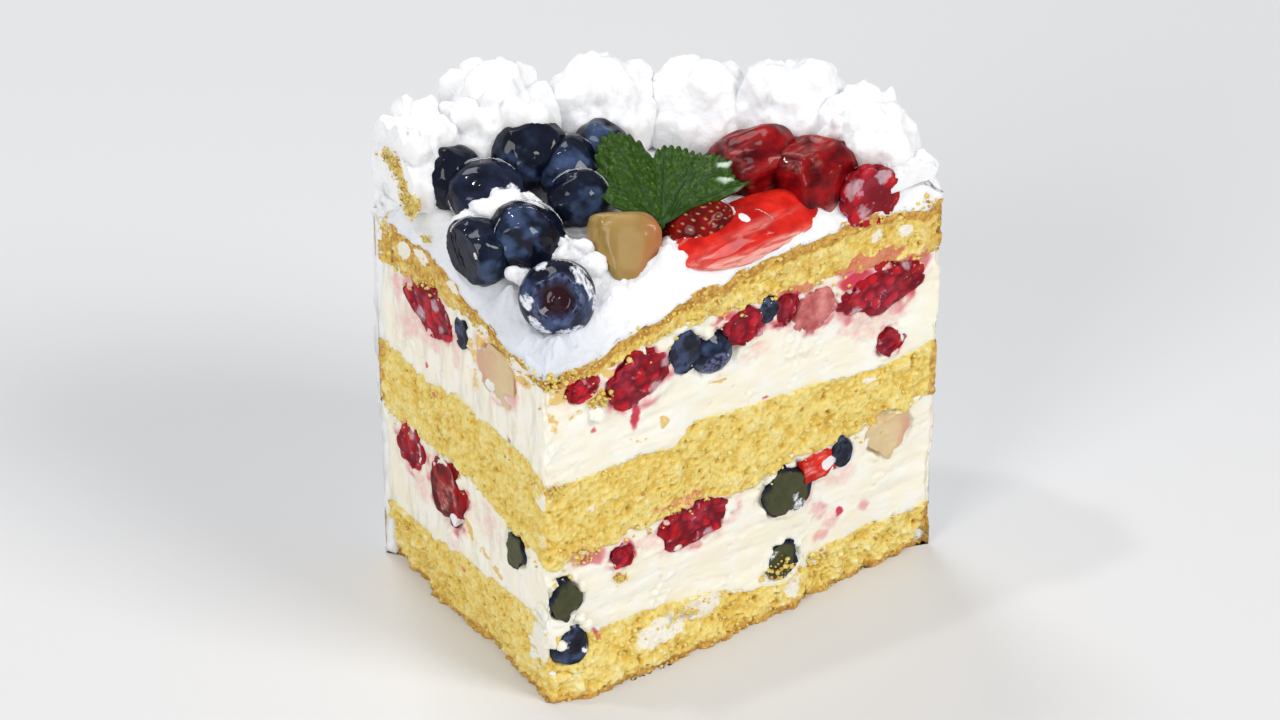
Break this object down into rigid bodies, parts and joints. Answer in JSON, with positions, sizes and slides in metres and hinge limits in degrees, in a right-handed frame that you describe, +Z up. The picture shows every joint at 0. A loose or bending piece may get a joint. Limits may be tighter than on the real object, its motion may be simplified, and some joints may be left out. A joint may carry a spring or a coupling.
{
  "type": "diplomat cake slice",
  "caption": "Square-cut piece of layered sponge cake with cream and fruit fillings, a piped cream border, glazed fruit and a leaf on top.",
  "frame": {"origin": "middle of the flat base that the cake rests on, half way across its overall length and width", "axes": "+X along the long cut face away from the near corner, +Y along the short cut face, +Z up"},
  "size_m": [0.0878, 0.0656, 0.1016],
  "materials": {
    "sponge": "fine open yellow sponge crumb, matt, with a golden-brown crust along its outer edges",
    "filling_cream": "smooth ivory cream with knife marks and pink juice stains where it was cut",
    "whipped_cream": "white whipped cream, slightly rough, with a soft sheen",
    "blueberry": "blue-black skin with a pale bloom, glossy under clear jelly on top",
    "raspberry": "dark red drupelets, wet with juice",
    "strawberry": "red flesh with pale streaks and small seeds, glazed",
    "peach": "translucent golden flesh, glazed",
    "leaf": "fresh green with a fine network of pale veins"
  },
  "bodies": {
    "root": {"blueberry_1": "blueberry", "blueberry_2": "blueberry", "blueberry_3": "blueberry", "blueberry_4": "blueberry", "blueberry_5": "blueberry", "blueberry_6": "blueberry", "blueberry_7": "blueberry", "blueberry_8": "blueberry", "blueberry_9": "blueberry", "blueberry_l1": "blueberry", "blueberry_l2": "blueberry", "blueberry_l3": "blueberry", "blueberry_l4": "blueberry", "blueberry_l5": "blueberry", "blueberry_s1": "blueberry", "blueberry_s2": "blueberry", "blueberry_u1": "blueberry", "blueberry_u2": "blueberry", "blueberry_u3": "blueberry", "cream_coat": "whipped_cream", "cream_lower": "filling_cream", "cream_top": "whipped_cream", "cream_upper": "filling_cream", "leaf": "leaf", "peach_l1": "peach", "peach_top": "peach", "raspberry_l1": "raspberry", "raspberry_l2": "raspberry", "raspberry_s1": "raspberry", "raspberry_s2": "raspberry", "raspberry_top": "raspberry", "raspberry_u1": "raspberry", "raspberry_u2": "raspberry", "raspberry_u3": "raspberry", "raspberry_u4": "raspberry", "raspberry_u5": "raspberry", "raspberry_u6": "raspberry", "rosette_1": "whipped_cream", "rosette_2": "whipped_cream", "rosette_3": "whipped_cream", "rosette_4": "whipped_cream", "rosette_5": "whipped_cream", "rosette_6": "whipped_cream", "rosette_7": "whipped_cream", "sponge_bottom": "sponge", "sponge_middle": "sponge", "sponge_top": "sponge", "strawberry_1": "strawberry", "strawberry_2": "strawberry", "strawberry_3": "strawberry", "strawberry_4": "strawberry", "strawberry_l1": "strawberry", "strawberry_s1": "strawberry", "strawberry_s2": "strawberry", "strawberry_u1": "strawberry"}
  },
  "joints": []
}
